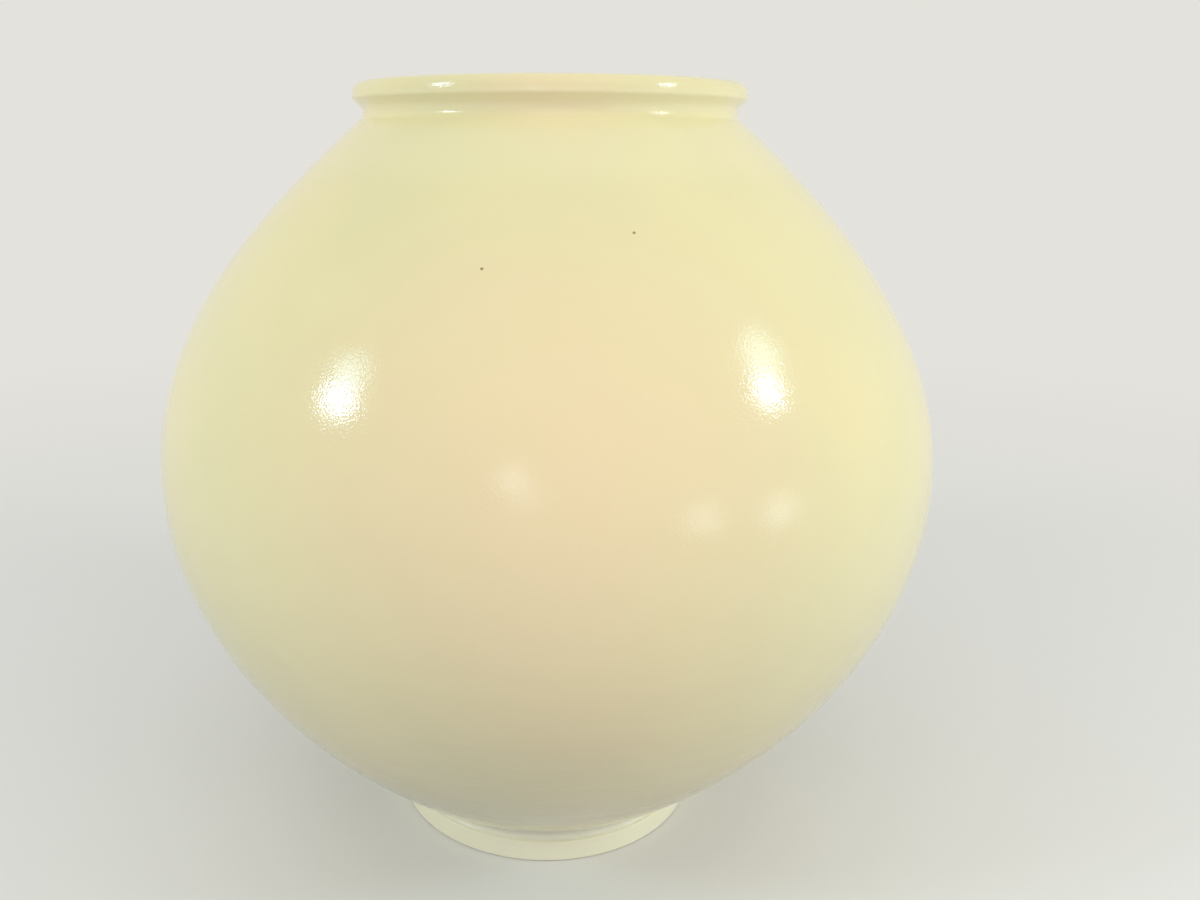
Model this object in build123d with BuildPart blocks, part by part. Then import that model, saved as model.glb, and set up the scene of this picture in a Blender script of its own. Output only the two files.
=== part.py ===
from build123d import *
import os

os.makedirs("parts", exist_ok=True)

# A moon jar: two thrown porcelain bowls luted mouth to mouth at the waist, a foot ring below and
# a short collar above. Millimetres, +Z up, origin at the centre of the face that the jar rests on.

# Body
belly_radius = 200.0
waist_height = 203.0
waist_wall = 7.5

# Lower bowl: its thrown floor
floor_thickness = 9.0
floor_radius = 60.0

# Upper bowl: its mouth, cut level to carry the collar
mouth_height = 374.5
mouth_radius = 95.2
mouth_wall = 10.8

# Handles of the flank curves, as shares of each curve's rise and reach
upper_waist_handle_share = 0.24
upper_mouth_reach_share = 0.84
upper_mouth_drop_share = 0.434
lower_waist_handle_share = 0.447
lower_foot_reach_share = 0.409
lower_foot_rise_share = 0.194
inner_waist_handle_share = 0.441
inner_floor_reach_share = 0.342

# Foot ring: an upright face with a crisp upper edge, and a cove from that edge up to the flank
foot_radius = 85.3
foot_edge_height = 12.3
foot_flare = 0.5
foot_width = 12.5
foot_inner_draft = 2.5
foot_chamfer = 0.6
cove_rise = 7.7
cove_overhang = 1.6
cove_depth = 2.8

# Collar: the hollow neck from the cut mouth up to the lip's lower edge, and the thick rounded lip
neck_height = 10.8
neck_corner_share = 0.394
neck_hollow_share = 0.417
lip_overhang = 2.3
lip_height = 7.4
lip_lean = 1.1
lip_edge_round_share = 0.216
lip_outer_round_share = 0.676
lip_inner_round_share = 0.486
throat_flare = 2.0

# Luted joints: the slip layers, the ridge round the waist and the roll pressed over it inside
slip_thickness = 0.8
ridge_height = 4.0
seam_coil_depth = 5.0
seam_coil_height = 26.0

# Overrun of the regions that cut the wall into pieces
overrun = 10.0

# Radii and heights that follow
waist_inner_radius = belly_radius - waist_wall
mouth_inner_radius = mouth_radius - mouth_wall
foot_edge_radius = foot_radius + foot_flare
flank_foot_radius = foot_edge_radius + cove_overhang
flank_foot_height = foot_edge_height + cove_rise
base_height = foot_edge_height + cove_rise / 2
floor_height = base_height + floor_thickness
foot_inner_radius = foot_radius - foot_width
recess_radius = foot_inner_radius - foot_inner_draft
lip_edge_radius = mouth_radius + lip_overhang
lip_edge_height = mouth_height + neck_height
top_height = lip_edge_height + lip_height


# Control points of a flank of the upper bowl, from the waist up to the cut mouth
def upper_flank(start_radius, end_radius):
    reach = start_radius - end_radius
    rise = mouth_height - waist_height
    return [
        (start_radius, waist_height),
        (start_radius, waist_height + upper_waist_handle_share * rise),
        (end_radius + upper_mouth_reach_share * reach, mouth_height - upper_mouth_drop_share * rise),
        (end_radius, mouth_height),
    ]


# Control points of the lower bowl's outer flank, from the cove up to the waist
def lower_flank():
    reach = belly_radius - flank_foot_radius
    rise = waist_height - flank_foot_height
    return [
        (flank_foot_radius, flank_foot_height),
        (
            flank_foot_radius + lower_foot_reach_share * reach,
            flank_foot_height + lower_foot_rise_share * rise,
        ),
        (belly_radius, waist_height - lower_waist_handle_share * rise),
        (belly_radius, waist_height),
    ]


# Control points of the lower bowl's thrown inside, from the waist down to the flat of the floor
def lower_inside():
    reach = waist_inner_radius - floor_radius
    drop = waist_height - floor_height
    return [
        (waist_inner_radius, waist_height),
        (waist_inner_radius, waist_height - inner_waist_handle_share * drop),
        (floor_radius + inner_floor_reach_share * reach, floor_height),
        (floor_radius, floor_height),
    ]


# Half-section of the whole jar wall, drawn once; each piece of clay is a band of it
with BuildSketch(Plane.XZ) as wall:
    with BuildLine():
        foot = Polyline(
            (0, base_height),
            (recess_radius, base_height),
            (foot_inner_radius - foot_chamfer, foot_chamfer),
            (foot_inner_radius, 0),
            (foot_radius - foot_chamfer, 0),
            (foot_radius, foot_chamfer),
            (foot_edge_radius, foot_edge_height),
        )
        SagittaArc(foot @ 1, (flank_foot_radius, flank_foot_height), cove_depth)
        Bezier(*lower_flank())
        shoulder = Bezier(*upper_flank(belly_radius, mouth_radius))
        slope = shoulder % 1
        neck_corner = shoulder @ 1 + slope * (neck_corner_share * neck_height / slope.Y)
        FilletPolyline(
            shoulder @ 1,
            neck_corner,
            (lip_edge_radius, lip_edge_height),
            (lip_edge_radius - lip_lean, top_height),
            (mouth_inner_radius + throat_flare, top_height),
            (mouth_inner_radius, mouth_height),
            radius=[
                neck_hollow_share * neck_height,
                lip_edge_round_share * lip_height,
                lip_outer_round_share * lip_height,
                lip_inner_round_share * lip_height,
            ],
        )
        Bezier(*upper_flank(waist_inner_radius, mouth_inner_radius))
        Bezier(*lower_inside())
        Polyline((floor_radius, floor_height), (0, floor_height), (0, base_height))
    make_face()

# Limits of the bands: level cuts at the foot and the mouth, and a ridge round the waist
foot_top = base_height - slip_thickness
collar_seat = mouth_height + slip_thickness
outside = belly_radius + overrun


# Points of the waist joint, from the axis outwards: level but for the ridge in the wall
def waist_joint(height):
    return [
        (0, height),
        (waist_inner_radius, height),
        (belly_radius - waist_wall / 2, height + ridge_height),
        (belly_radius, height),
        (outside, height),
    ]


# Points of a level cut, from the axis outwards
def level_cut(height):
    return [(0, height), (outside, height)]


lower_rim = waist_joint(waist_height)
upper_rim = waist_joint(waist_height + slip_thickness)

# Foot ring
with BuildPart() as foot_ring:
    with BuildSketch(Plane.XZ):
        add(wall.sketch_local)
        with BuildLine():
            Polyline(*level_cut(0), *reversed(level_cut(foot_top)), close=True)
        make_face(mode=Mode.INTERSECT)
    revolve(axis=Axis.Z)
foot_ring.part.label = "foot_ring"
export_step(foot_ring.part, "parts/foot_ring.step")

# Slip between the foot ring and the lower bowl
with BuildPart() as foot_slip:
    with BuildSketch(Plane.XZ):
        add(wall.sketch_local)
        with BuildLine():
            Polyline(*level_cut(foot_top), *reversed(level_cut(base_height)), close=True)
        make_face(mode=Mode.INTERSECT)
    revolve(axis=Axis.Z)
foot_slip.part.label = "foot_slip"
export_step(foot_slip.part, "parts/foot_slip.step")

# Lower bowl, from its flat base to the ridge on its rim
with BuildPart() as lower_bowl:
    with BuildSketch(Plane.XZ):
        add(wall.sketch_local)
        with BuildLine():
            Polyline(*level_cut(base_height), *reversed(lower_rim), close=True)
        make_face(mode=Mode.INTERSECT)
    revolve(axis=Axis.Z)
lower_bowl.part.label = "lower_bowl"
export_step(lower_bowl.part, "parts/lower_bowl.step")

# Slip between the two bowls
with BuildPart() as waist_slip:
    with BuildSketch(Plane.XZ):
        add(wall.sketch_local)
        with BuildLine():
            Polyline(*lower_rim, *reversed(upper_rim), close=True)
        make_face(mode=Mode.INTERSECT)
    revolve(axis=Axis.Z)
waist_slip.part.label = "waist_slip"
export_step(waist_slip.part, "parts/waist_slip.step")

# Roll of clay pressed over the waist joint inside: a low rounded bead that lies on the wall
with BuildPart() as seam_coil:
    with BuildSketch(Plane.XZ):
        with BuildLine():
            bead = SagittaArc(
                (waist_inner_radius, waist_height - seam_coil_height / 2),
                (waist_inner_radius, waist_height + seam_coil_height / 2),
                seam_coil_depth,
            )
            Line(bead @ 0, bead @ 1)
        make_face()
        add(wall.sketch_local, mode=Mode.SUBTRACT)
    revolve(axis=Axis.Z)
seam_coil.part.label = "seam_coil"
export_step(seam_coil.part, "parts/seam_coil.step")

# Upper bowl, from the groove in its rim to its cut mouth
with BuildPart() as upper_bowl:
    with BuildSketch(Plane.XZ):
        add(wall.sketch_local)
        with BuildLine():
            Polyline(*upper_rim, *reversed(level_cut(mouth_height)), close=True)
        make_face(mode=Mode.INTERSECT)
    revolve(axis=Axis.Z)
upper_bowl.part.label = "upper_bowl"
export_step(upper_bowl.part, "parts/upper_bowl.step")

# Slip between the upper bowl and the collar
with BuildPart() as neck_slip:
    with BuildSketch(Plane.XZ):
        add(wall.sketch_local)
        with BuildLine():
            Polyline(*level_cut(mouth_height), *reversed(level_cut(collar_seat)), close=True)
        make_face(mode=Mode.INTERSECT)
    revolve(axis=Axis.Z)
neck_slip.part.label = "neck_slip"
export_step(neck_slip.part, "parts/neck_slip.step")

# Collar: the neck and the lip
with BuildPart() as collar:
    with BuildSketch(Plane.XZ):
        add(wall.sketch_local)
        with BuildLine():
            Polyline(*level_cut(collar_seat), *reversed(level_cut(top_height)), close=True)
        make_face(mode=Mode.INTERSECT)
    revolve(axis=Axis.Z)
collar.part.label = "collar"
export_step(collar.part, "parts/collar.step")
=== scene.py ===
# A glazed porcelain moon jar: two bowls thrown on the wheel and luted together at the waist,
# with a trimmed foot ring below and a short collar above. Sizes are in mm, the scene in metres.
import math

import bmesh
import bpy
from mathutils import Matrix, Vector, noise
from mathutils.geometry import interpolate_bezier


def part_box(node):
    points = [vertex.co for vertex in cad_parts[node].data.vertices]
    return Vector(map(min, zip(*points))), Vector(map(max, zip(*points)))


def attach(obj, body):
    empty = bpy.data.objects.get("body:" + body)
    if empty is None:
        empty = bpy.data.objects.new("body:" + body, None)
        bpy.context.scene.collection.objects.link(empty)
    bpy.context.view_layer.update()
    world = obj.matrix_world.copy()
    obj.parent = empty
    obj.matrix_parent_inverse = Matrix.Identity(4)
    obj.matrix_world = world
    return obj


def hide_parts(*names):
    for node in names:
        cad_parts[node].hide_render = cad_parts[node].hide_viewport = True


mm = 0.001
sameSpot, sameHeight = 1e-7, 1e-6    # metres; points and heights closer than this are one
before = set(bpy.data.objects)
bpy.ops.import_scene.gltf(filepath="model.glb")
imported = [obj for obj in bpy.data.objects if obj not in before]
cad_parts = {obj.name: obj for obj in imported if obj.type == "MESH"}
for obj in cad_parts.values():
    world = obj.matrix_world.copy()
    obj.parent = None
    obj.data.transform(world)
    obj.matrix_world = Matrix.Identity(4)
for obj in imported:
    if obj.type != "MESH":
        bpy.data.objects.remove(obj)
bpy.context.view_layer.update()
scene = bpy.context.scene
print("frame loaded")


# Materials

def addNode(tree, kind, inputs=None, **settings):
    node = tree.nodes.new(kind)
    for key, value in settings.items():
        setattr(node, key, value)
    for socket, value in (inputs or {}).items():
        if isinstance(value, bpy.types.NodeSocket):
            tree.links.new(value, node.inputs[socket])
        else:
            node.inputs[socket].default_value = value
    return node


def fromHex(code):
    # From the screen's sRGB curve to linear light
    parts = [int(code[i:i + 2], 16) / 255 for i in (1, 3, 5)]
    return tuple(c / 12.92 if c <= 0.04045 else ((c + 0.055) / 1.055) ** 2.4 for c in parts) + (1.0,)


def newMaterial(name):
    material = bpy.data.materials.new(name)
    material.use_nodes = True
    material.node_tree.nodes.clear()
    return material, material.node_tree


# Ivory glaze on porcelain, dipped and fired to a soft gloss: a warm cream that leans to peach in patches
# and to green where the glaze lies thick, a skin as fine as eggshell that frays the highlights, a few
# pinholes, and the turning marks of the clay below as faint level bands.
# The face that the jar stands on is wiped bare, with a thin toasted line where the glaze ends.
glazeLook = {
    "name": "ivory glaze, dipped and fired on porcelain",
    "ivory": "#EEE0A8", "peach": "#F4DBAA", "celadon": "#E7DDA7", "speck": "#9C8862",
    # The pale colour is thin glaze and also paints light over the foot and under the lip; the cool one is
    # pooled glaze and painted cool bounce light above the foot
    "thinAndPaintedLight": "#F8F2CC", "pooledAndPaintedCoolLight": "#E8E4C8",
    "ior": 1.5, "roughness": 0.1, "slowDetail": 2.0, "fineDetail": 1.0,
    "eggshellGrain": 1.0, "eggshellDepth": 0.062,    # mm, twice the real grain so that it shows
    "swellGrain": 38, "swellDepth": 0.1,
    "turningPitch": 5.5, "turningDepth": 0.14, "turningShade": 0.075, "turningFade": (120.0, 195.0),
    "turningStretch": 0.02,                          # how slowly the marks change round the jar
    "pinholeSize": 0.65,
    "pinholes": [
        (-24.7, -148.3, 319.9), (33.3, -135.7, 332.3), (181.1, 48.5, 262),
        (82.7, 155.6, 118), (-71.4, 134.3, 318), (-179.8, 48.2, 138)],
    "peachPatches": [    # centre, reach and strength
        ((0, -190, 250), 152, 1.0), ((0, -97, 392), 52, 0.7), ((20, -190, 150), 70, 0.35),
        ((-150, 120, 250), 130, 0.8), ((120, 150, 140), 120, 0.7)],
    "patchWander": 70, "patchWanderSize": 60,
    "cloudSize": 120, "cloudEdges": (0.35, 0.7),
    "tints": [      # colour, from and to in height, softness and strength
        # Painted light: the pale tint over the foot and the one from 380 to 385.5 under the lip; the tint
        # below 24 is pooled glaze and painted cool bounce light
        ("pooledAndPaintedCoolLight", -5.0, 24.0, 3.0, 1.0), ("thinAndPaintedLight", -5.0, 12.4, 0.4, 1.0),
        ("thinAndPaintedLight", 352.0, 380.0, 8.0, 0.12), ("thinAndPaintedLight", 380.0, 385.5, 2.5, 0.35),
        ("thinAndPaintedLight", 392.0, 400.0, 1.0, 0.45)],
    "bareHeight": 0.35, "bareWander": 0.3, "bareWanderSize": 25, "bareRoughness": 0.8,
    "bare": "#E3D6C0", "toasted": "#C08A55", "toastedWidth": 0.4,
}


def makeGlaze(look):
    material, tree = newMaterial(look["name"])
    place = addNode(tree, "ShaderNodeTexCoord").outputs["Object"]
    height = addNode(tree, "ShaderNodeSeparateXYZ", {"Vector": place}).outputs["Z"]

    # Colour: slow clouds over the whole jar, and peach patches with ragged edges
    clouds = addNode(tree, "ShaderNodeTexNoise", {
        "Vector": place, "Scale": 1 / (look["cloudSize"] * mm), "Detail": look["slowDetail"]})
    cloudMask = addNode(tree, "ShaderNodeMapRange", {
        "Value": clouds.outputs["Fac"], "From Min": look["cloudEdges"][0], "From Max": look["cloudEdges"][1]},
        interpolation_type="SMOOTHSTEP")
    colour = addNode(tree, "ShaderNodeMix", {
        "Factor": cloudMask.outputs["Result"], 6: fromHex(look["celadon"]), 7: fromHex(look["ivory"])},
        data_type="RGBA")
    ragged = addNode(tree, "ShaderNodeTexNoise", {
        "Vector": place, "Scale": 1 / (look["patchWanderSize"] * mm), "Detail": look["slowDetail"]})
    halfWander = look["patchWander"] / 2 * mm
    wander = addNode(tree, "ShaderNodeMapRange", {
        "Value": ragged.outputs["Fac"], "To Min": -halfWander, "To Max": halfWander})
    for centre, reach, strength in look["peachPatches"]:
        away = addNode(tree, "ShaderNodeVectorMath", {
            0: place, 1: Vector(centre) * mm}, operation="DISTANCE")
        shifted = addNode(tree, "ShaderNodeMath", {
            0: away.outputs["Value"], 1: wander.outputs["Result"]}, operation="ADD")
        mask = addNode(tree, "ShaderNodeMapRange", {
            "Value": shifted.outputs["Value"], "From Min": reach * mm, "From Max": 0.0, "To Max": strength},
            interpolation_type="SMOOTHSTEP")
        colour = addNode(tree, "ShaderNodeMix", {
            "Factor": mask.outputs["Result"], 6: colour.outputs[2], 7: fromHex(look["peach"])},
            data_type="RGBA")

    # Paler where the glaze drew thin along the crown of the lip, and a little paler round the neck.
    # Painted light: the foot made paler for the bounce light that it catches, and the shaded undercut of
    # the lip lifted paler; the cooler tone in the hollow above the foot is pooled glaze and painted cool
    # light
    for tint, low, high, soft, strength in look["tints"]:
        rising = addNode(tree, "ShaderNodeMapRange", {
            "Value": height, "From Min": (low - soft) * mm, "From Max": (low + soft) * mm,
            "To Max": strength}, interpolation_type="SMOOTHSTEP")
        falling = addNode(tree, "ShaderNodeMapRange", {
            "Value": height, "From Min": (high + soft) * mm, "From Max": (high - soft) * mm},
            interpolation_type="SMOOTHSTEP")
        mask = addNode(tree, "ShaderNodeMath", {
            0: rising.outputs["Result"], 1: falling.outputs["Result"]}, operation="MULTIPLY")
        colour = addNode(tree, "ShaderNodeMix", {
            "Factor": mask.outputs["Value"], 6: colour.outputs[2], 7: fromHex(look[tint])},
            data_type="RGBA")

    # Turning marks of the lower bowl, level bands that the glaze only half fills
    stretch = look["turningStretch"]
    squashed = addNode(tree, "ShaderNodeMapping", {"Vector": place, "Scale": (stretch, stretch, 1.0)})
    turning = addNode(tree, "ShaderNodeTexNoise", {
        "Vector": squashed.outputs["Vector"], "Scale": 1 / (look["turningPitch"] * mm),
        "Detail": look["slowDetail"]})
    lower = addNode(tree, "ShaderNodeMapRange", {
        "Value": height, "From Min": look["turningFade"][1] * mm, "From Max": look["turningFade"][0] * mm},
        interpolation_type="SMOOTHSTEP")
    bands = addNode(tree, "ShaderNodeMath", {
        0: turning.outputs["Fac"], 1: lower.outputs["Result"]}, operation="MULTIPLY")
    shade = addNode(tree, "ShaderNodeMath", {
        0: bands.outputs["Value"], 1: look["turningShade"]}, operation="MULTIPLY")
    banded = addNode(tree, "ShaderNodeMix", {
        "Factor": shade.outputs["Value"], 6: colour.outputs[2], 7: fromHex(look["speck"])},
        data_type="RGBA")

    # Pinholes: a few small dark specks
    nearest = 1.0    # metres, farther than any pinhole
    for spot in look["pinholes"]:
        away = addNode(tree, "ShaderNodeVectorMath", {0: place, 1: Vector(spot) * mm}, operation="DISTANCE")
        nearest = addNode(tree, "ShaderNodeMath", {
            0: away.outputs["Value"], 1: nearest}, operation="MINIMUM").outputs["Value"]
    speck = addNode(tree, "ShaderNodeMath", {
        0: nearest, 1: look["pinholeSize"] * mm}, operation="LESS_THAN")
    speckled = addNode(tree, "ShaderNodeMix", {
        "Factor": speck.outputs["Value"], 6: banded.outputs[2], 7: fromHex(look["speck"])},
        data_type="RGBA")

    # Relief: the turning marks, slow swells of the thrown wall, and the eggshell skin of the glaze
    eggshell = addNode(tree, "ShaderNodeTexNoise", {
        "Vector": place, "Scale": 1 / (look["eggshellGrain"] * mm), "Detail": look["fineDetail"]})
    swells = addNode(tree, "ShaderNodeTexNoise", {
        "Vector": place, "Scale": 1 / (look["swellGrain"] * mm), "Detail": look["fineDetail"]})
    marks = addNode(tree, "ShaderNodeBump", {
        "Height": bands.outputs["Value"], "Distance": look["turningDepth"] * mm})
    waves = addNode(tree, "ShaderNodeBump", {
        "Height": swells.outputs["Fac"], "Distance": look["swellDepth"] * mm,
        "Normal": marks.outputs["Normal"]})
    skin = addNode(tree, "ShaderNodeBump", {
        "Height": eggshell.outputs["Fac"], "Distance": look["eggshellDepth"] * mm,
        "Normal": waves.outputs["Normal"]})
    glossy = addNode(tree, "ShaderNodeBsdfPrincipled", {
        "Base Color": speckled.outputs[2], "Roughness": look["roughness"], "IOR": look["ior"],
        "Normal": skin.outputs["Normal"]})

    # The bare resting face: its edge wanders a little round the foot
    uneven = addNode(tree, "ShaderNodeTexNoise", {
        "Vector": place, "Scale": 1 / (look["bareWanderSize"] * mm), "Detail": look["slowDetail"]})
    edge = addNode(tree, "ShaderNodeMath", {
        0: uneven.outputs["Fac"], 1: look["bareWander"] * mm,
        2: (look["bareHeight"] - look["bareWander"] / 2) * mm}, operation="MULTIPLY_ADD")
    above = addNode(tree, "ShaderNodeMath", {0: height, 1: edge.outputs["Value"]}, operation="SUBTRACT")
    glazed = addNode(tree, "ShaderNodeMath", {
        0: above.outputs["Value"], 1: 0.0}, operation="GREATER_THAN")
    scorch = addNode(tree, "ShaderNodeMapRange", {
        "Value": above.outputs["Value"], "From Min": -look["toastedWidth"] * mm, "From Max": 0.0})
    bareColour = addNode(tree, "ShaderNodeMix", {
        "Factor": scorch.outputs["Result"], 6: fromHex(look["bare"]), 7: fromHex(look["toasted"])},
        data_type="RGBA")
    bare = addNode(tree, "ShaderNodeBsdfPrincipled", {
        "Base Color": bareColour.outputs[2], "Roughness": look["bareRoughness"],
        "Normal": marks.outputs["Normal"]})
    mixed = addNode(tree, "ShaderNodeMixShader", {
        0: glazed.outputs["Value"], 1: bare.outputs["BSDF"], 2: glossy.outputs["BSDF"]})
    addNode(tree, "ShaderNodeOutputMaterial", {"Surface": mixed.outputs["Shader"]})
    return material


# The same glaze poured inside, made paler and milky: painted light, so that the shaded hollow stays light
linerLook = {
    **glazeLook, "name": "glaze inside, painted paler to light the hollow",
    "ivory": "#F3EEDA", "peach": "#F3E8D2", "celadon": "#EEECD8", "pinholes": [],
}


# Porcelain clay fired without glaze, as the joints are inside the wall: matt, with a fine tooth
clayLook = {
    "name": "unglazed porcelain, joined leather hard and fired",
    "colour": "#E6DCC8", "roughness": 0.85, "grain": 0.5, "depth": 0.05,
}


def makeClay(look):
    material, tree = newMaterial(look["name"])
    place = addNode(tree, "ShaderNodeTexCoord").outputs["Object"]
    grain = addNode(tree, "ShaderNodeTexNoise", {"Vector": place, "Scale": 1 / (look["grain"] * mm)})
    tooth = addNode(tree, "ShaderNodeBump", {
        "Height": grain.outputs["Fac"], "Distance": look["depth"] * mm})
    matt = addNode(tree, "ShaderNodeBsdfPrincipled", {
        "Base Color": fromHex(look["colour"]), "Roughness": look["roughness"],
        "Normal": tooth.outputs["Normal"]})
    addNode(tree, "ShaderNodeOutputMaterial", {"Surface": matt.outputs["BSDF"]})
    return material


coats = [makeGlaze(glazeLook), makeClay(clayLook), makeGlaze(linerLook)]
skin, joint, liner = range(len(coats))
print("glaze and clay mixed")


# Sizes read from the frame

def boxOf(node):
    low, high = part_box(node)
    return low / mm, high / mm


bellyRadius = boxOf("lower_bowl")[1].x
baseHeight = boxOf("lower_bowl")[0].z
waistHeight, ridgeTop = boxOf("waist_slip")[0].z, boxOf("lower_bowl")[1].z
mouthHeight, collarSeat = boxOf("neck_slip")[0].z, boxOf("neck_slip")[1].z
mouthRadius = boxOf("neck_slip")[1].x
topHeight = boxOf("collar")[1].z
footTop, footEdge = boxOf("foot_ring")[1].z, boxOf("foot_ring")[1].x
slipTop = waistHeight + collarSeat - mouthHeight    # all slip layers are equally thick

# Sizes of each piece, in mm; handles and the neck's corner are shares of the curve they belong to
bowls = {
    "waistWall": 7.5, "mouthWall": 10.8, "floorThickness": 9.0, "floorRadius": 60.0,
    "upperWaist": 0.24, "upperMouthReach": 0.84, "upperMouthDrop": 0.434,
    "lowerWaist": 0.447, "lowerFootReach": 0.409, "lowerFootRise": 0.194,
    "innerWaist": 0.441, "innerFloorReach": 0.342,
}
foot = {
    "edgeHeight": 12.3, "flare": 0.5, "width": 12.5, "draft": 2.5, "arris": 0.6,
    "coveRise": 7.7, "coveOverhang": 1.6, "coveHollow": 3.7, "coveRows": 0.6,
    "edgeRound": 0.35, "arrisRound": 0.2,
}
collar = {
    "neckCorner": 0.394, "neckHeight": 10.8, "neckRound": 4.5, "lipOverhang": 2.3, "lipLean": 1.1,
    "edgeRound": 1.6, "outerRound": 5.0, "innerRound": 3.6, "throatFlare": 2.0,
}
wheel = {
    "steps": 256, "rowHeight": 2.0, "rowLimit": 3.0, "fewestRows": 4, "cornerSteps": 7,
    "sharpAngle": 34,                               # degrees; a sharper edge isn't smoothed
    "levelFace": 0.6,                               # a face this level lies in a joint
    "outOfRound": 0.3, "outOfRoundSize": 110,       # how far and how broadly the wall wanders
    "trueCore": 5.0, "driftFrom": (20, 60),         # nearer the axis or lower down it stays true
    "inwardFrom": (150, 199),                       # radii at which it may only wander inwards
    "lean": 1.0, "leanFrom": 290.0,                 # the mouth sits this far to one side
    "sag": 1.4, "sagCentre": (96, -30, 42), "sagReach": 60, "sagFrom": (20, 32),
    "ringPitch": 9.0, "ringDepth": 0.35, "ringFade": 15.0,    # finger rings inside
}

floorHeight = baseHeight + bowls["floorThickness"]
waistInside = bellyRadius - bowls["waistWall"]
mouthInside = mouthRadius - bowls["mouthWall"]
coveEnd = (footEdge + foot["coveOverhang"], foot["edgeHeight"] + foot["coveRise"])


# The section of the wall, drawn once and cut into a band for each piece of clay

def curve(start, startHandle, endHandle, end, rowHeight=wheel["rowHeight"]):
    knots = [Vector((r, z, 0)) for r, z in (start, startHandle, endHandle, end)]
    rows = max(wheel["fewestRows"], round((knots[3] - knots[0]).length / rowHeight))
    return [(p.x, p.y) for p in interpolate_bezier(*knots, rows + 1)]


def upperFlank(outer, inner):
    reach, rise = outer - inner, mouthHeight - waistHeight
    return curve(
        (outer, waistHeight), (outer, waistHeight + bowls["upperWaist"] * rise),
        (inner + bowls["upperMouthReach"] * reach, mouthHeight - bowls["upperMouthDrop"] * rise),
        (inner, mouthHeight))


def lowerFlank():
    reach, rise = bellyRadius - coveEnd[0], waistHeight - coveEnd[1]
    return curve(
        coveEnd,
        (coveEnd[0] + bowls["lowerFootReach"] * reach, coveEnd[1] + bowls["lowerFootRise"] * rise),
        (bellyRadius, waistHeight - bowls["lowerWaist"] * rise), (bellyRadius, waistHeight))


def lowerInside():
    reach, drop = waistInside - bowls["floorRadius"], waistHeight - floorHeight
    return curve(
        (waistInside, waistHeight), (waistInside, waistHeight - bowls["innerWaist"] * drop),
        (bowls["floorRadius"] + bowls["innerFloorReach"] * reach, floorHeight),
        (bowls["floorRadius"], floorHeight))


def roundCorner(section, corner, radius):
    spot = min(section.verts, key=lambda v: (v.co - Vector((corner[0], 0, corner[1])) * mm).length)
    before, after = (edge.other_vert(spot).co - spot.co for edge in spot.link_edges)
    bmesh.ops.bevel(
        section, geom=[spot], offset=radius * mm / math.tan(before.angle(after) / 2),
        offset_type="OFFSET", segments=wheel["cornerSteps"], profile=0.5, affect="VERTICES", material=-1)


def drawSection():
    footRadius = footEdge - foot["flare"]
    footInside = footRadius - foot["width"]
    footCorner = (footEdge, foot["edgeHeight"])
    underside = [
        (0, baseHeight), (footInside - foot["draft"], baseHeight),
        (footInside - foot["arris"], foot["arris"]), (footInside, 0),
        (footRadius - foot["arris"], 0), (footRadius, foot["arris"])]
    cove = curve(
        footCorner, (footEdge - foot["coveHollow"], foot["edgeHeight"]),
        (coveEnd[0] - foot["coveHollow"], coveEnd[1] - foot["coveOverhang"]), coveEnd, foot["coveRows"])
    shoulder = upperFlank(bellyRadius, mouthRadius)
    slope = Vector(shoulder[-1]) - Vector(shoulder[-2])
    rise = collar["neckCorner"] * collar["neckHeight"]
    neck = (mouthRadius + rise * slope.x / slope.y, mouthHeight + rise)
    lipEdge = (mouthRadius + collar["lipOverhang"], mouthHeight + collar["neckHeight"])
    lipOuter = (lipEdge[0] - collar["lipLean"], topHeight)
    lipInner = (mouthInside + collar["throatFlare"], topHeight)
    outside = underside + cove + lowerFlank()[1:] + shoulder[1:] + [neck, lipEdge, lipOuter, lipInner]
    inside = upperFlank(waistInside, mouthInside)[::-1] + lowerInside()[1:] + [(0, floorHeight)]

    section = bmesh.new()
    ringAt = section.verts.layers.float.new("ring")    # way along the inside, where the finger rings run
    outline = [section.verts.new(Vector((r, 0, z)) * mm) for r, z in outside + inside]
    section.faces.new(outline)
    roundCorner(section, neck, collar["neckRound"])
    roundCorner(section, lipEdge, collar["edgeRound"])
    roundCorner(section, lipOuter, collar["outerRound"])
    roundCorner(section, lipInner, collar["innerRound"])
    roundCorner(section, footCorner, foot["edgeRound"])
    for corner in underside[2:]:
        roundCorner(section, corner, foot["arrisRound"])

    # Measured after the corners are rounded, because rounding spreads the layer to its new points
    for point in section.verts:
        point[ringAt] = 0.0
    length = 0.0
    for last, point in zip(outline[len(outside):], outline[len(outside) + 1:]):
        length += (point.co - last.co).length
        point[ringAt] = length
    return section


def cutBand(section, low, high):
    band = section.copy()
    for height, up in ((low, -1), (high, 1)):
        if height is not None:
            bmesh.ops.bisect_plane(
                band, geom=band.verts[:] + band.edges[:] + band.faces[:], dist=sameSpot,
                plane_co=(0, 0, height * mm), plane_no=(0, 0, up), clear_outer=True)
    loose = [edge for edge in band.edges if not edge.link_faces]    # what lay just along the cut
    bmesh.ops.delete(band, geom=loose, context="EDGES")
    return band


def raiseRidge(band, height):
    rim = [edge for edge in band.edges if all(abs(v.co.z - height * mm) < sameHeight for v in edge.verts)]
    made = bmesh.ops.subdivide_edges(band, edges=rim, cuts=1)["geom_inner"]
    for point in made:
        if isinstance(point, bmesh.types.BMVert):
            point.co.z += (ridgeTop - waistHeight) * mm


def ease(value, low, high):
    share = min(1, max(0, (value - low) / (high - low)))
    return share * share * (3 - 2 * share)


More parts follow.
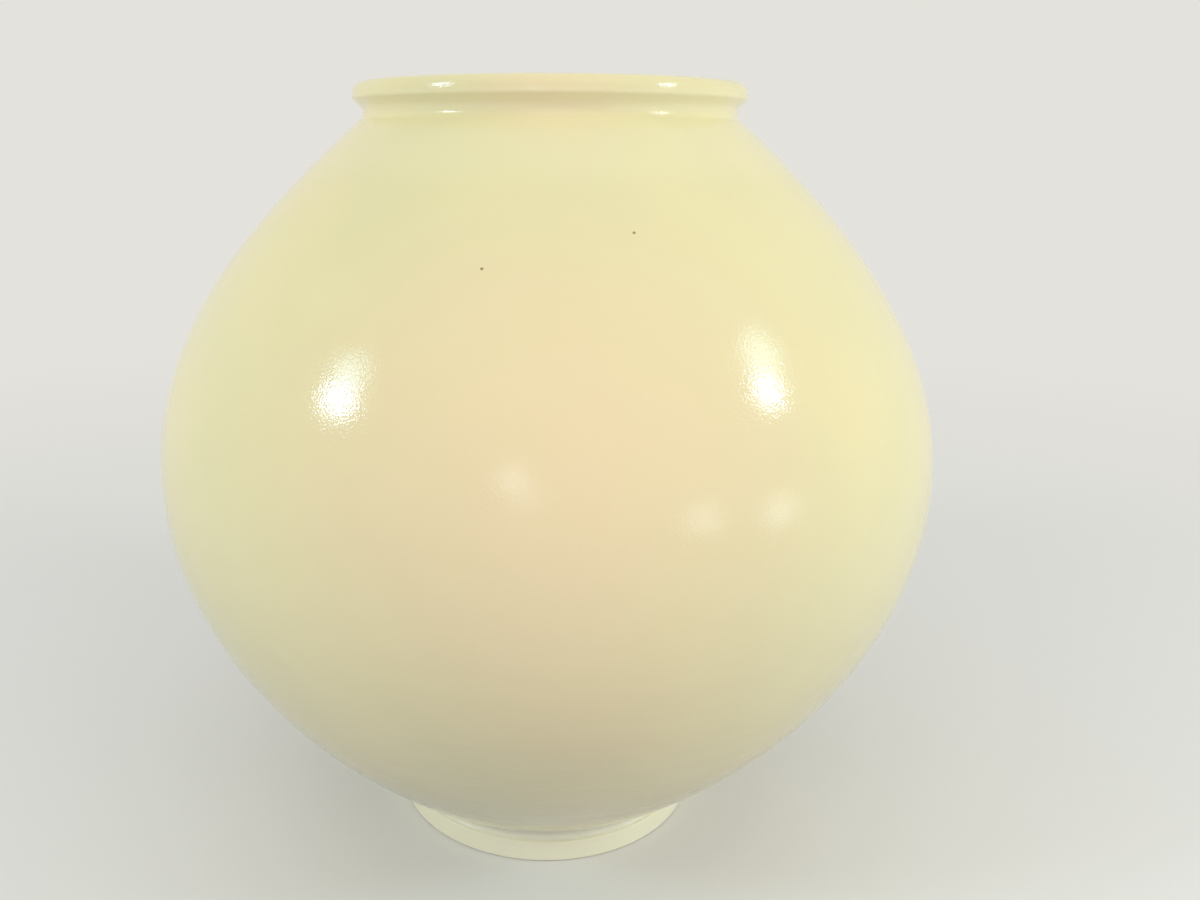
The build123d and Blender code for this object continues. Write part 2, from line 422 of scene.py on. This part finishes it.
def handThrown(point):
    # The wall is never quite round: it wanders from the true circle, inwards only at the belly, it
    # sags a little above the foot on one side, and the mouth stands slightly to that side
    reach = Vector((point.x, point.y, 0))
    if reach.length > wheel["trueCore"] * mm:
        drift = noise.noise(point / (wheel["outOfRoundSize"] * mm))
        drift -= ease(reach.length / mm, *wheel["inwardFrom"])
        away = wheel["outOfRound"] * drift * ease(point.z / mm, *wheel["driftFrom"])
        nearSag = 1 - (point - Vector(wheel["sagCentre"]) * mm).length / (wheel["sagReach"] * mm)
        away += wheel["sag"] * ease(nearSag, 0, 1) * ease(point.z / mm, *wheel["sagFrom"])
        point = point + reach.normalized() * away * mm
    point.x += wheel["lean"] * ease(point.z / mm, wheel["leanFrom"], mouthHeight) * mm
    return point


def turnProfile(profile, steps):
    # Only the outline is turned: the flat face goes, and so does what lies along the axis
    bmesh.ops.delete(profile, geom=profile.faces[:], context="FACES_ONLY")
    onAxis = [edge for edge in profile.edges if all(abs(v.co.x) < sameSpot for v in edge.verts)]
    bmesh.ops.delete(profile, geom=onAxis, context="EDGES")
    for edge in list(profile.edges):
        cuts = int(edge.calc_length() / (wheel["rowLimit"] * mm))
        if cuts:
            bmesh.ops.subdivide_edges(profile, edges=[edge], cuts=cuts)
    bmesh.ops.spin(
        profile, geom=profile.verts[:] + profile.edges[:], cent=(0, 0, 0), axis=(0, 0, 1),
        dvec=(0, 0, 0), angle=math.tau, steps=steps, use_merge=True)
    bmesh.ops.remove_doubles(profile, verts=profile.verts, dist=sameSpot)
    bmesh.ops.recalc_face_normals(profile, faces=profile.faces)


def coatFaces(profile, ringAt, joints, coat):
    for face in profile.faces:
        face.smooth = True
        inside = ringAt and all(point[ringAt] > 0 for point in face.verts)
        face.material_index = liner if inside else coat
    for edge in profile.edges:
        if edge.is_manifold and edge.calc_face_angle() > math.radians(wheel["sharpAngle"]):
            edge.smooth = False
    for height in joints:
        ridge = (ridgeTop - waistHeight) * mm if height in (waistHeight, slipTop) else 0
        for face in profile.faces:
            level = [v.co.z - height * mm for v in face.verts]
            isThere = min(level) > -sameHeight and max(level) < ridge + sameHeight
            if isThere and abs(face.normal.z) > wheel["levelFace"]:
                face.material_index = joint


def fingerRings(profile, ringAt):
    # How far each point inside is pressed in, in rings that fade out in the middle of the floor
    shifts = {}
    profile.normal_update()
    for point in profile.verts:
        if point[ringAt] > 0 and all(face.material_index != joint for face in point.link_faces):
            turn = math.atan2(point.co.y, point.co.x)
            wave = math.sin(math.tau * point[ringAt] / (wheel["ringPitch"] * mm) + turn)
            fade = min(1, Vector((point.co.x, point.co.y)).length / (wheel["ringFade"] * mm))
            shifts[point] = point.normal * wheel["ringDepth"] * mm * 0.5 * (wave - 1) * fade
    return shifts


def spinPiece(name, node, profile, joints=(), steps=wheel["steps"], coat=skin):
    turnProfile(profile, steps)
    ringAt = profile.verts.layers.float.get("ring")
    coatFaces(profile, ringAt, joints, coat)
    shifts = fingerRings(profile, ringAt) if ringAt else {}
    for point in profile.verts:
        point.co = handThrown(point.co + shifts.get(point, Vector()))
    mesh = bpy.data.meshes.new(name)
    profile.to_mesh(mesh)
    profile.free()
    for material in coats:
        mesh.materials.append(material)
    piece = bpy.data.objects.new(name, mesh)
    scene.collection.objects.link(piece)
    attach(piece, "root")
    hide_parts(node)
    print(f"{name} spun: {len(mesh.polygons)} faces")
    return piece


# Name, node and slot of each piece, the heights it lies between, and the joints among them
bands = [
    ("footRing", "foot_ring", "foot_porcelain", None, footTop, [footTop]),
    ("footSlip", "foot_slip", "luting_slip", footTop, baseHeight, [footTop, baseHeight]),
    ("lowerBowl", "lower_bowl", "glazed_porcelain", baseHeight, waistHeight, [waistHeight]),
    ("waistSlip", "waist_slip", "luting_slip", waistHeight, slipTop, [waistHeight, slipTop]),
    ("upperBowl", "upper_bowl", "glazed_porcelain", slipTop, mouthHeight, [slipTop, mouthHeight]),
    ("neckSlip", "neck_slip", "luting_slip", mouthHeight, collarSeat, [mouthHeight, collarSeat]),
    ("collarRing", "collar", "glazed_porcelain", collarSeat, None, [collarSeat]),
]
section = drawSection()
for name, node, finish, low, high, joints in bands:
    band = cutBand(section, low, high)
    for height in joints:
        if height in (waistHeight, slipTop):
            raiseRidge(band, height)
    spinPiece(name, node, band, joints)
section.free()


# The roll of clay over the waist joint inside, pressed down with a fingertip all the way round

coil = {
    "depth": 5.0, "height": 26.0, "backing": 0.6, "rowHeight": 1.6, "steps": 512,
    "handleReach": 4 / 3,    # the curve's crown lies at three quarters of its handles
    "handleRise": 0.45,
    "fingers": 64, "dent": 1.1, "unevenness": 1.5, "unevenTurns": 5,
}


def rollCoil():
    bead = bmesh.new()
    base, half = waistInside + coil["backing"], coil["height"] / 2
    crown = waistInside - coil["depth"] * coil["handleReach"]
    points = curve(
        (base, waistHeight - half), (crown, waistHeight - half * coil["handleRise"]),
        (crown, waistHeight + half * coil["handleRise"]), (base, waistHeight + half), coil["rowHeight"])
    outline = [bead.verts.new(Vector((r, 0, z)) * mm) for r, z in points]
    bead.faces.new(outline)
    return bead


coilPiece = spinPiece(
    "seamCoil", "seam_coil", rollCoil(), steps=coil["steps"], coat=liner)
for vertex in coilPiece.data.vertices:
    turn = math.atan2(vertex.co.y, vertex.co.x)
    proud = waistInside * mm - math.hypot(vertex.co.x, vertex.co.y)
    if proud > 0:
        beat = coil["fingers"] * turn + coil["unevenness"] * math.sin(coil["unevenTurns"] * turn)
        press = 0.5 + 0.5 * math.cos(beat)
        share = coil["dent"] * press * proud / coil["depth"]
        vertex.co += Vector((vertex.co.x, vertex.co.y, 0)).normalized() * share
print("coil pressed")


# The camera stands in front of the jar and a little below its lip

view = {
    "place": (0.0, -528.4, 366.6), "pitch": 17.25, "yaw": 0.11, "roll": -0.18,
    "lens": 30.0, "sensor": 36.0, "shift": 0.0451, "nearest": 10,
}
camera = bpy.data.objects.new("camera", bpy.data.cameras.new("camera"))
scene.collection.objects.link(camera)
camera.location = Vector(view["place"]) * mm
camera.rotation_euler = [math.radians(turn) for turn in (90 - view["pitch"], view["roll"], view["yaw"])]
camera.data.sensor_width = view["sensor"]
camera.data.lens = view["lens"]
camera.data.shift_x = view["shift"]
camera.data.clip_start = view["nearest"] * mm
scene.camera = camera


# The studio: a matt painted floor, a pale room and soft lamps

floorPaint = {
    "seen": "#E4E2DC", "unseen": "#9A9CBB",    # as the eye sees it, and as it lights the jar
    "size": 8000, "edges": 96, "roughness": 0.9,
    "fadeFrom": 300, "fadeTo": 1500,           # the paint runs into the pale wall without a line
}
room = {"seen": "#E4E2DC", "overhead": 0.7, "level": 0.48}    # brightness above and at eye level


def makeFloorPaint(look):
    material, tree = newMaterial("matt painted floor")
    path = addNode(tree, "ShaderNodeLightPath")
    looked = addNode(tree, "ShaderNodeMath", {
        0: path.outputs["Is Camera Ray"], 1: path.outputs["Is Glossy Ray"]}, operation="MAXIMUM")
    tone = addNode(tree, "ShaderNodeMix", {
        "Factor": looked.outputs["Value"], 6: fromHex(look["unseen"]), 7: fromHex(look["seen"])},
        data_type="RGBA")
    matt = addNode(tree, "ShaderNodeBsdfPrincipled", {
        "Base Color": tone.outputs[2], "Roughness": look["roughness"]})
    place = addNode(tree, "ShaderNodeTexCoord").outputs["Object"]
    away = addNode(tree, "ShaderNodeVectorMath", {0: place}, operation="LENGTH")
    faded = addNode(tree, "ShaderNodeMapRange", {
        "Value": away.outputs["Value"], "From Min": look["fadeFrom"] * mm, "From Max": look["fadeTo"] * mm},
        interpolation_type="SMOOTHSTEP")
    share = addNode(tree, "ShaderNodeMath", {
        0: faded.outputs["Result"], 1: looked.outputs["Value"]}, operation="MULTIPLY")
    wall = addNode(tree, "ShaderNodeEmission", {"Color": fromHex(look["seen"]), "Strength": 1.0})
    both = addNode(tree, "ShaderNodeMixShader", {
        0: share.outputs["Value"], 1: matt.outputs["BSDF"], 2: wall.outputs["Emission"]})
    addNode(tree, "ShaderNodeOutputMaterial", {"Surface": both.outputs["Shader"]})
    return material


disc = bmesh.new()
bmesh.ops.create_circle(
    disc, cap_ends=True, radius=floorPaint["size"] / 2 * mm, segments=floorPaint["edges"])
floorMesh = bpy.data.meshes.new("floor")
disc.to_mesh(floorMesh)
disc.free()
floorMesh.materials.append(makeFloorPaint(floorPaint))
floor = bpy.data.objects.new("floor", floorMesh)
scene.collection.objects.link(floor)

world = bpy.data.worlds.new("room")
world.use_nodes = True
scene.world = world
tree = world.node_tree
tree.nodes.clear()
heading = addNode(tree, "ShaderNodeTexCoord").outputs["Generated"]
upward = addNode(tree, "ShaderNodeSeparateXYZ", {"Vector": heading}).outputs["Z"]
glow = addNode(tree, "ShaderNodeMapRange", {
    "Value": upward, "From Min": 0.0, "From Max": 1.0, "To Min": room["level"], "To Max": room["overhead"]})
lit = addNode(tree, "ShaderNodeBackground", {"Color": (1, 1, 1, 1), "Strength": glow.outputs["Result"]})
seen = addNode(tree, "ShaderNodeBackground", {"Color": fromHex(room["seen"]), "Strength": 1.0})
path = addNode(tree, "ShaderNodeLightPath")
looked = addNode(tree, "ShaderNodeMath", {
    0: path.outputs["Is Camera Ray"], 1: path.outputs["Is Glossy Ray"]}, operation="MAXIMUM")
both = addNode(tree, "ShaderNodeMixShader", {
    0: looked.outputs["Value"], 1: lit.outputs["Background"], 2: seen.outputs["Background"]})
addNode(tree, "ShaderNodeOutputWorld", {"Surface": both.outputs["Shader"]})

# The small lamps leave the highlights, and the wide ones light the jar without a reflection
aim = Vector((0, 0, 230)) * mm
white = "#FFFFFF"
lamps = {    # place, width and height, power, colour, and whether the glaze reflects it
    "left spot": ((-1380, -710, 1030), (310, 230), 3.8, "#D8F0FF", True),
    "left glow": ((-1345, -650, 1210), (310, 310), 1.5, "#BFEEFF", True),
    "right spot": ((1475, -570, 1058), (220, 240), 2.9, "#D8F0FF", True),
    "right glow": ((1405, -420, 1230), (320, 320), 1.5, "#C6EEF4", True),
    "front window": ((-298, -1868, 835), (220, 220), 0.5, "#D0F0F4", True),
    "low window": ((-205, -1890, 640), (300, 300), 0.3, "#D0F0F4", True),
    "side window": ((1271, -1542, 300), (330, 330), 0.65, "#DDF2FF", True),
    "far window": ((1744, -959, 200), (330, 330), 0.65, "#DDF2FF", True),
    "left box": ((-1380, -710, 1060), (600, 600), 2.45, white, False),
    "right box": ((1476, -544, 1000), (600, 600), 4.1, white, False),
    "left screen": ((-1500, -1200, 560), (1200, 1200), 5.0, white, False),
    "right screen": ((1600, -1080, 340), (1200, 1200), 8.2, white, False),
    "front screen": ((0, -1700, 250), (1600, 500), 0.4, white, False),
    "left low": ((-1500, -650, 150), (700, 250), 1.4, white, False),
    "right low": ((1500, -650, 150), (700, 250), 2.2, white, False),
    "back screen": ((0, 1900, 800), (1800, 1000), 6.0, white, False),
}
for name, (place, size, power, colour, shows) in lamps.items():
    light = bpy.data.lights.new(name, "AREA")
    light.shape = "ELLIPSE"
    light.size, light.size_y = (side * mm for side in size)
    light.energy = power
    light.color = fromHex(colour)[:3]
    holder = bpy.data.objects.new(name, light)
    scene.collection.objects.link(holder)
    holder.location = Vector(place) * mm
    holder.rotation_euler = (aim - holder.location).to_track_quat("-Z", "Y").to_euler()
    holder.visible_glossy = shows

# One narrow lamp straight above lets the eye into the hollow: its light falls inside the lip only
mouthLamp = {"height": 2000, "reach": 80, "soft": 5, "blend": 1.0, "power": 160.0}
light = bpy.data.lights.new("mouth lamp", "SPOT")
light.energy = mouthLamp["power"]
light.spot_size = 2 * math.atan(mouthLamp["reach"] / (mouthLamp["height"] - topHeight))
light.spot_blend = mouthLamp["blend"]
light.shadow_soft_size = mouthLamp["soft"] * mm
holder = bpy.data.objects.new("mouth lamp", light)
scene.collection.objects.link(holder)
holder.location.z = mouthLamp["height"] * mm
holder.visible_glossy = False
print("studio lit")

scene.view_settings.view_transform = "Standard"
